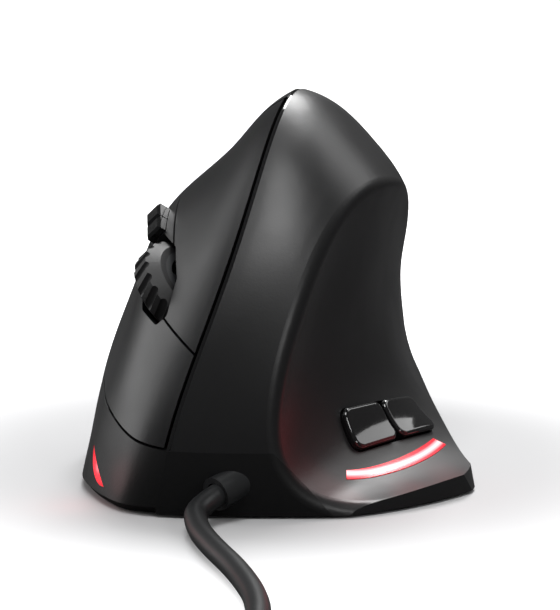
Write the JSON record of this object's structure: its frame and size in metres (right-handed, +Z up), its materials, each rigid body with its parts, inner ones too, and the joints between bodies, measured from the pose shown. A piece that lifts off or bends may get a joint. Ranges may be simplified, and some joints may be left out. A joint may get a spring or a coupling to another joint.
{
  "type": "vertical ergonomic mouse",
  "caption": "Right-handed vertical computer mouse with a tall fin-shaped shell, side thumb rest, finger buttons, ribbed scroll wheel, red light strips and a coiled cable.",
  "frame": {"origin": "centre of the mouse's footprint at the table, without its cord", "axes": "+Z up, -Y towards the front where the cord leaves, +X towards the thumb side"},
  "size_m": [0.0795, 0.3476, 0.0769],
  "materials": {
    "soft_panel": "matte soft touch coat",
    "skirt": "fine matte",
    "trim_gloss": "piano black gloss",
    "light_guide": "translucent red, lit",
    "wheel_rubber": "matte ribbed",
    "inner_plastic": "plain moulded",
    "switch_plastic": "plain moulded",
    "plunger_plastic": "plain moulded",
    "board": "solder mask",
    "chip": "moulded resin",
    "clear": "clear",
    "lamp": "clear resin",
    "screw_steel": "zinc plated",
    "foot": "low friction film",
    "cord_jacket": "satin",
    "plug_plastic": "moulded",
    "plug_steel": "bright nickel",
    "contact_gold": "gold plated"
  },
  "bodies": {
    "case": {"palm_cover": "soft_panel", "trim_band": "trim_gloss", "thumb_shell": "soft_panel", "lower_case": "skirt", "thumb_light": "light_guide", "finger_light": "light_guide", "slide_feet": "foot", "inner_frame": "inner_plastic", "finger_board": "board", "board_screws": "screw_steel", "case_screws": "screw_steel", "main_screws": "screw_steel", "index_switch": "switch_plastic", "middle_switch": "switch_plastic", "wheel_switch": "switch_plastic", "dpi_down_switch": "switch_plastic", "dpi_up_switch": "switch_plastic", "forward_switch": "switch_plastic", "back_switch": "switch_plastic", "thumb_board": "board", "main_board": "board", "sensor_chip": "chip", "sensor_lens": "clear", "controller_chip": "chip", "cable_connector": "plunger_plastic", "thumb_lamp": "lamp", "finger_lamp": "lamp", "grommet": "cord_jacket", "cord_lead": "cord_jacket", "cord": "cord_jacket", "cord_coil": "cord_jacket", "cord_tail": "cord_jacket", "plug_neck": "cord_jacket", "plug_body": "plug_plastic", "plug_shell": "plug_steel", "plug_tongue": "plug_plastic", "plug_contacts": "contact_gold"},
    "index_button": {"index_button": "soft_panel"},
    "middle_button": {"middle_button": "soft_panel"},
    "wheel_carrier": {"wheel_carrier": "inner_plastic", "encoder_body": "switch_plastic"},
    "wheel": {"wheel_tyre": "wheel_rubber", "wheel_hub": "inner_plastic", "wheel_axle": "screw_steel", "encoder_rotor": "plunger_plastic"},
    "index_plunger": {"index_plunger": "plunger_plastic"},
    "middle_plunger": {"middle_plunger": "plunger_plastic"},
    "wheel_plunger": {"wheel_plunger": "plunger_plastic"},
    "dpi_down_key": {"dpi_down_key": "trim_gloss"},
    "dpi_down_plunger": {"dpi_down_plunger": "plunger_plastic"},
    "dpi_up_key": {"dpi_up_key": "trim_gloss"},
    "dpi_up_plunger": {"dpi_up_plunger": "plunger_plastic"},
    "forward_button": {"forward_button": "trim_gloss"},
    "forward_plunger": {"forward_plunger": "plunger_plastic"},
    "back_button": {"back_button": "trim_gloss"},
    "back_plunger": {"back_plunger": "plunger_plastic"}
  },
  "joints": [
    {"name": "index_press", "type": "hinge", "parent": "case", "child": "index_button", "pos_m": [-0.01758, -0.00005, 0.05393], "axis": [0.6369, -0.3949, 0.6622], "range_deg": [0, 0.36], "stiffness_Nm_per_rad": 1.5, "springref_deg": -0.57},
    {"name": "middle_press", "type": "hinge", "parent": "case", "child": "middle_button", "pos_m": [-0.01758, -0.00005, 0.05393], "axis": [0.6369, -0.3949, 0.6622], "range_deg": [0, 0.36], "stiffness_Nm_per_rad": 1.5, "springref_deg": -0.57},
    {"name": "wheel_press", "type": "hinge", "parent": "case", "child": "wheel_carrier", "pos_m": [-0.01814, -0.01459, 0.04579], "axis": [0.6369, -0.3949, 0.6622], "range_deg": [0, 0.8], "stiffness_Nm_per_rad": 1.2, "springref_deg": -0.57},
    {"name": "wheel_spin", "type": "hinge", "parent": "wheel_carrier", "child": "wheel", "pos_m": [-0.01822, -0.02615, 0.03897], "axis": [0.6369, -0.3949, 0.6622], "continuous": true},
    {"name": "dpi_down_press", "type": "slide", "parent": "case", "child": "dpi_down_key", "axis": [0.7699, 0.3705, -0.5195], "range_m": [0, 0.00035], "stiffness_N_per_m": 1500, "springref_m": -0.0002},
    {"name": "dpi_up_press", "type": "slide", "parent": "case", "child": "dpi_up_key", "axis": [0.7699, 0.3705, -0.5195], "range_m": [0, 0.00035], "stiffness_N_per_m": 1500, "springref_m": -0.0002},
    {"name": "forward_press", "type": "slide", "parent": "case", "child": "forward_button", "axis": [-0.6706, 0.4013, -0.6239], "range_m": [0, 0.0004], "stiffness_N_per_m": 1800, "springref_m": -0.0002},
    {"name": "back_press", "type": "slide", "parent": "case", "child": "back_button", "axis": [-0.6706, 0.4013, -0.6239], "range_m": [0, 0.0004], "stiffness_N_per_m": 1800, "springref_m": -0.0002},
    {"name": "index_plunger_slide", "type": "slide", "parent": "case", "child": "index_plunger", "axis": [0.7699, 0.3705, -0.5195], "range_m": [0, 0.00024]},
    {"name": "middle_plunger_slide", "type": "slide", "parent": "case", "child": "middle_plunger", "axis": [0.7699, 0.3705, -0.5195], "range_m": [0, 0.00027]},
    {"name": "wheel_plunger_slide", "type": "slide", "parent": "case", "child": "wheel_plunger", "axis": [0.7699, 0.3705, -0.5195], "range_m": [0, 0.0004]},
    {"name": "dpi_down_plunger_slide", "type": "slide", "parent": "case", "child": "dpi_down_plunger", "axis": [0.7699, 0.3705, -0.5195], "range_m": [0, 0.00035]},
    {"name": "dpi_up_plunger_slide", "type": "slide", "parent": "case", "child": "dpi_up_plunger", "axis": [0.7699, 0.3705, -0.5195], "range_m": [0, 0.00035]},
    {"name": "forward_plunger_slide", "type": "slide", "parent": "case", "child": "forward_plunger", "axis": [-0.6706, 0.4013, -0.6239], "range_m": [0, 0.0004]},
    {"name": "back_plunger_slide", "type": "slide", "parent": "case", "child": "back_plunger", "axis": [-0.6706, 0.4013, -0.6239], "range_m": [0, 0.0004]}
  ],
  "couplings": [
    {"joint": "index_plunger_slide", "follows": "index_press", "m_per_rad": 0.0375},
    {"joint": "middle_plunger_slide", "follows": "middle_press", "m_per_rad": 0.0416},
    {"joint": "wheel_plunger_slide", "follows": "wheel_press", "m_per_rad": 0.0274},
    {"joint": "dpi_down_plunger_slide", "follows": "dpi_down_press", "ratio": 1},
    {"joint": "dpi_up_plunger_slide", "follows": "dpi_up_press", "ratio": 1},
    {"joint": "forward_plunger_slide", "follows": "forward_press", "ratio": 1},
    {"joint": "back_plunger_slide", "follows": "back_press", "ratio": 1}
  ]
}
